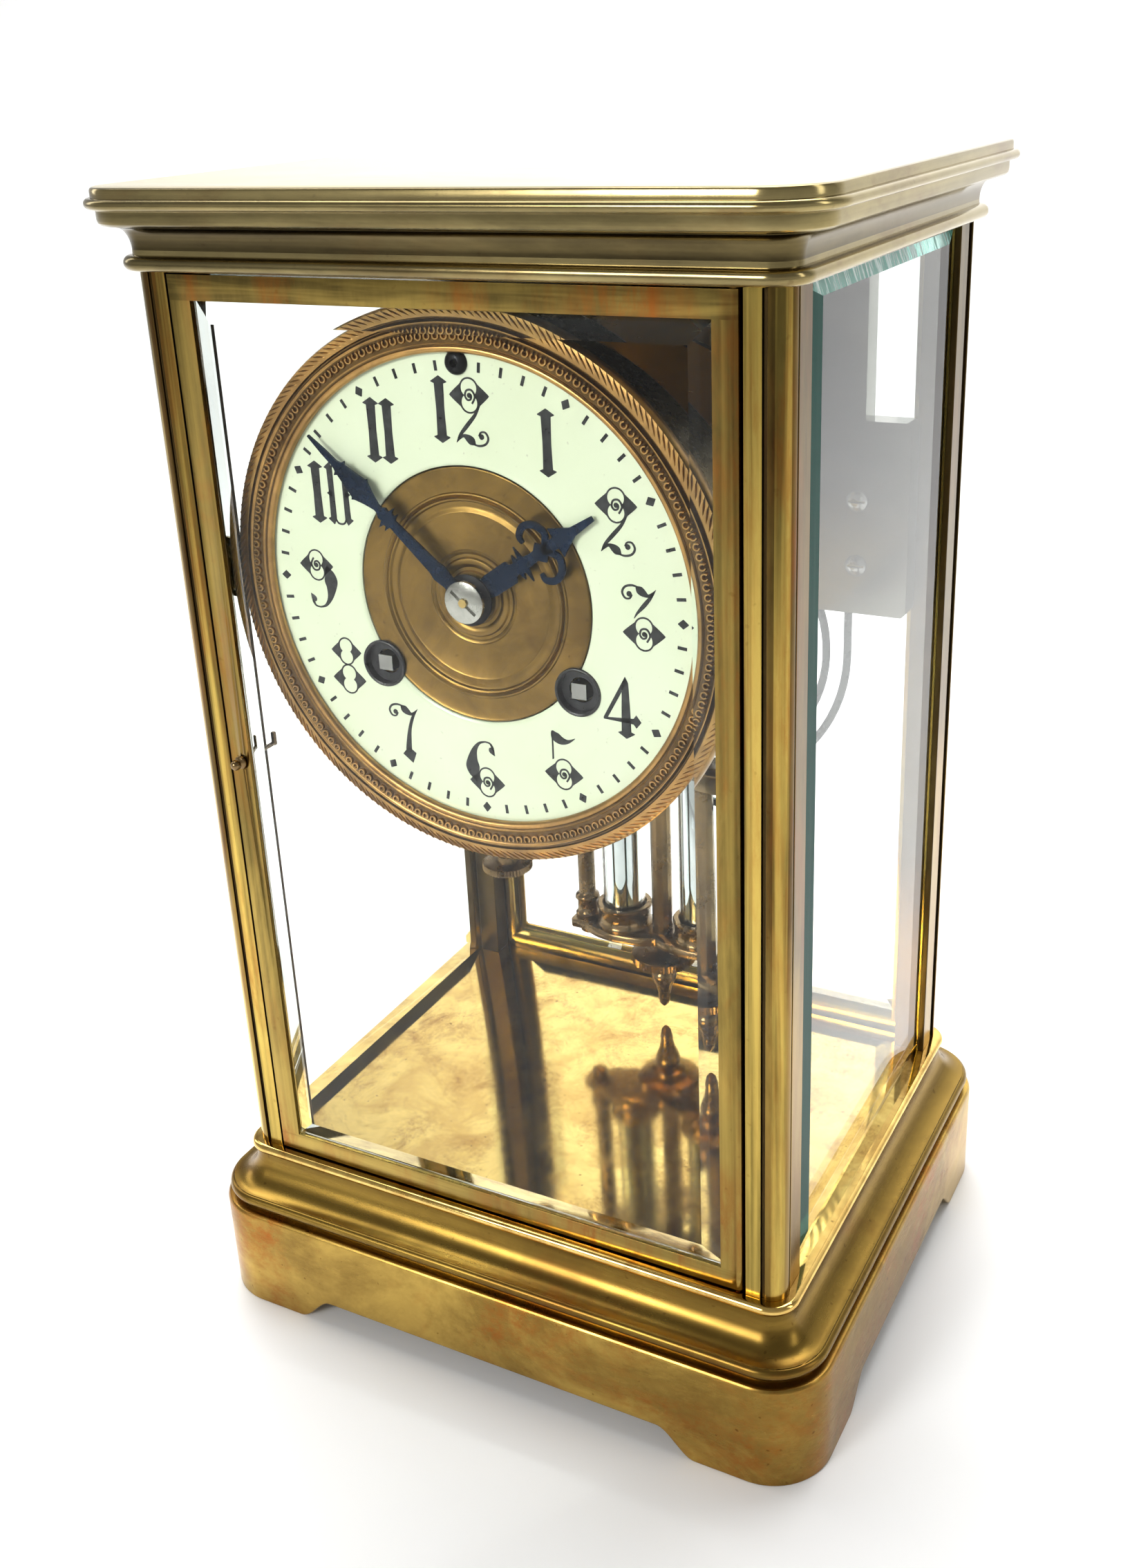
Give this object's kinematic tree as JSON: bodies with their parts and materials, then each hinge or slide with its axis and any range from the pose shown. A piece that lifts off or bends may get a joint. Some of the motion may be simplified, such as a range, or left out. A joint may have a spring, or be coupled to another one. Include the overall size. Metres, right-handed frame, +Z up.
{
  "type": "four glass clock",
  "caption": "Tall brass table clock with bevelled glass on all sides, round dial in an embossed bezel, coiled gong and a pendulum with glass vials, on a footed base.",
  "frame": {"origin": "on the table under the middle of the plinth", "axes": "+Z up, the dial and the front door face -Y, +X to the right seen from the front"},
  "size_m": [0.156, 0.132, 0.26],
  "materials": {
    "aged_brass": "polished long ago, now dulled to olive brown",
    "bright_brass": "polished and lacquered, with stains where the lacquer has gone",
    "gilt_brass": "gilt, warm and slightly coppery",
    "movement_brass": "brushed",
    "polished_steel": "polished",
    "nickel_plate": "polished, slightly dark",
    "blued_steel": "heat blued, almost black",
    "quicksilver": "mirror bright liquid metal",
    "dial_enamel": "glossy white enamel",
    "clear_glass": "clear, bevelled edges faintly green"
  },
  "bodies": {
    "case": {"plinth": "bright_brass", "base_moulding": "bright_brass", "floor_plate": "bright_brass", "pillar_front_right": "aged_brass", "pillar_front_left": "aged_brass", "pillar_rear_right": "aged_brass", "pillar_rear_left": "aged_brass", "cornice_bead": "aged_brass", "cornice_cove": "aged_brass", "cornice_fascia": "aged_brass", "top_plate": "aged_brass", "side_glass_right": "clear_glass", "side_glass_left": "clear_glass", "bezel": "gilt_brass", "dial_ring": "dial_enamel", "dial_centre": "gilt_brass", "dial_drum": "aged_brass", "support_arm_right": "aged_brass", "support_arm_left": "aged_brass", "movement_front_plate": "movement_brass", "movement_back_plate": "movement_brass", "back_cock": "movement_brass", "suspension": "polished_steel", "gong_plate": "nickel_plate", "gong_block": "polished_steel", "gong_coil": "blued_steel"},
    "front_door": {"front_door_frame": "aged_brass", "front_door_glass": "clear_glass"},
    "front_latch": {"front_door_latch": "aged_brass"},
    "rear_door": {"rear_door_frame": "aged_brass", "rear_door_glass": "clear_glass"},
    "rear_latch": {"rear_door_latch": "aged_brass"},
    "thumb_screw": {"thumb_screw": "aged_brass"},
    "minute_arbor": {"minute_hand": "blued_steel", "hand_nut": "polished_steel", "centre_wheel": "movement_brass"},
    "hour_pipe": {"hour_hand": "blued_steel", "hour_wheel": "movement_brass"},
    "minute_wheel": {"minute_wheel": "movement_brass"},
    "going_second_wheel": {"going_second_wheel": "movement_brass"},
    "going_barrel": {"going_barrel": "movement_brass"},
    "winding_arbor_right": {"winding_arbor_right": "polished_steel"},
    "third_wheel": {"third_wheel": "movement_brass"},
    "escape_wheel": {"escape_wheel": "movement_brass"},
    "anchor": {"anchor": "polished_steel"},
    "strike_barrel": {"strike_barrel": "movement_brass"},
    "winding_arbor_left": {"winding_arbor_left": "polished_steel"},
    "strike_second_wheel": {"strike_second_wheel": "movement_brass"},
    "pin_wheel": {"pin_wheel": "movement_brass"},
    "fly": {"fly": "movement_brass"},
    "hammer": {"hammer": "polished_steel"},
    "regulator": {"regulator_arbor": "polished_steel"},
    "pendulum": {"pendulum_rod": "aged_brass", "pendulum_frame": "aged_brass", "vial_left": "clear_glass", "vial_right": "clear_glass", "mercury_left": "quicksilver", "mercury_right": "quicksilver"},
    "rating_nut": {"rating_nut": "aged_brass"}
  },
  "joints": [
    {"name": "front_door_hinge", "type": "hinge", "parent": "case", "child": "front_door", "pos_m": [0.0578, -0.0545, 0.14235], "axis": [0, 0, 1], "range_deg": [0, 100]},
    {"name": "front_latch_turn", "type": "hinge", "parent": "front_door", "child": "front_latch", "pos_m": [-0.0565, -0.053, 0.142], "axis": [0, 1, 0], "range_deg": [-90, 0]},
    {"name": "rear_door_hinge", "type": "hinge", "parent": "case", "child": "rear_door", "pos_m": [0.0578, 0.0545, 0.14235], "axis": [0, 0, -1], "range_deg": [0, 100]},
    {"name": "rear_latch_turn", "type": "hinge", "parent": "rear_door", "child": "rear_latch", "pos_m": [-0.0565, 0.053, 0.142], "axis": [0, 1, 0], "range_deg": [-90, 0]},
    {"name": "thumb_screw_turn", "type": "hinge", "parent": "case", "child": "thumb_screw", "pos_m": [0, -0.041, 0.128], "axis": [0, 0, 1], "continuous": true},
    {"name": "minute_arbor_turn", "type": "hinge", "parent": "case", "child": "minute_arbor", "pos_m": [0, -0.02, 0.183], "axis": [0, 1, 0], "continuous": true},
    {"name": "hour_pipe_turn", "type": "hinge", "parent": "case", "child": "hour_pipe", "pos_m": [0, -0.04, 0.183], "axis": [0, 1, 0], "continuous": true},
    {"name": "minute_wheel_turn", "type": "hinge", "parent": "case", "child": "minute_wheel", "pos_m": [-0.00255, -0.03, 0.19748], "axis": [0, 1, 0], "continuous": true},
    {"name": "going_second_turn", "type": "hinge", "parent": "case", "child": "going_second_wheel", "pos_m": [0.01518, -0.01, 0.18615], "axis": [0, 1, 0], "continuous": true},
    {"name": "going_barrel_turn", "type": "hinge", "parent": "case", "child": "going_barrel", "pos_m": [0.0223, -0.015, 0.1665], "axis": [0, 1, 0], "continuous": true},
    {"name": "winding_right_turn", "type": "hinge", "parent": "case", "child": "winding_arbor_right", "pos_m": [0.0223, -0.03, 0.1665], "axis": [0, 1, 0], "continuous": true},
    {"name": "third_wheel_turn", "type": "hinge", "parent": "case", "child": "third_wheel", "pos_m": [0.00422, -0.01, 0.19874], "axis": [0, 1, 0], "continuous": true},
    {"name": "escape_wheel_turn", "type": "hinge", "parent": "case", "child": "escape_wheel", "pos_m": [0, -0.01, 0.20836], "axis": [0, 1, 0], "continuous": true},
    {"name": "pendulum_swing", "type": "hinge", "parent": "case", "child": "pendulum", "pos_m": [0, 0.034, 0.2215], "axis": [0, 1, 0], "range_deg": [-3.5, 3.5]},
    {"name": "anchor_swing", "type": "hinge", "parent": "case", "child": "anchor", "pos_m": [0, 0.01, 0.2215], "axis": [0, 1, 0], "range_deg": [-3.5, 3.5]},
    {"name": "rating_nut_turn", "type": "hinge", "parent": "pendulum", "child": "rating_nut", "pos_m": [0, 0.034, 0.057], "axis": [0, 0, 1], "continuous": true},
    {"name": "strike_second_turn", "type": "hinge", "parent": "case", "child": "strike_second_wheel", "pos_m": [-0.01518, -0.01, 0.18615], "axis": [0, 1, 0], "continuous": true},
    {"name": "strike_barrel_turn", "type": "hinge", "parent": "case", "child": "strike_barrel", "pos_m": [-0.0223, -0.015, 0.1665], "axis": [0, 1, 0], "continuous": true},
    {"name": "winding_left_turn", "type": "hinge", "parent": "case", "child": "winding_arbor_left", "pos_m": [-0.0223, -0.03, 0.1665], "axis": [0, 1, 0], "continuous": true},
    {"name": "pin_wheel_turn", "type": "hinge", "parent": "case", "child": "pin_wheel", "pos_m": [-0.0178, -0.01, 0.20102], "axis": [0, 1, 0], "continuous": true},
    {"name": "fly_turn", "type": "hinge", "parent": "case", "child": "fly", "pos_m": [-0.01215, -0.01, 0.21081], "axis": [0, 1, 0], "continuous": true},
    {"name": "hammer_lift", "type": "hinge", "parent": "case", "child": "hammer", "pos_m": [-0.037, 0, 0.186], "axis": [0, 1, 0], "range_deg": [0, 10], "stiffness_Nm_per_rad": 0.03},
    {"name": "regulator_turn", "type": "hinge", "parent": "case", "child": "regulator", "pos_m": [0, -0.01, 0.2283], "axis": [0, 1, 0], "continuous": true}
  ],
  "couplings": [
    {"joint": "hour_pipe_turn", "follows": "minute_arbor_turn", "ratio": 0.083333},
    {"joint": "minute_wheel_turn", "follows": "minute_arbor_turn", "ratio": -0.33333},
    {"joint": "going_second_turn", "follows": "minute_arbor_turn", "ratio": -0.2},
    {"joint": "going_barrel_turn", "follows": "minute_arbor_turn", "ratio": 0.033333},
    {"joint": "third_wheel_turn", "follows": "minute_arbor_turn", "ratio": -5},
    {"joint": "anchor_swing", "follows": "pendulum_swing", "ratio": 1},
    {"joint": "strike_barrel_turn", "follows": "strike_second_turn", "ratio": -0.16667},
    {"joint": "pin_wheel_turn", "follows": "strike_second_turn", "ratio": -5}
  ]
}
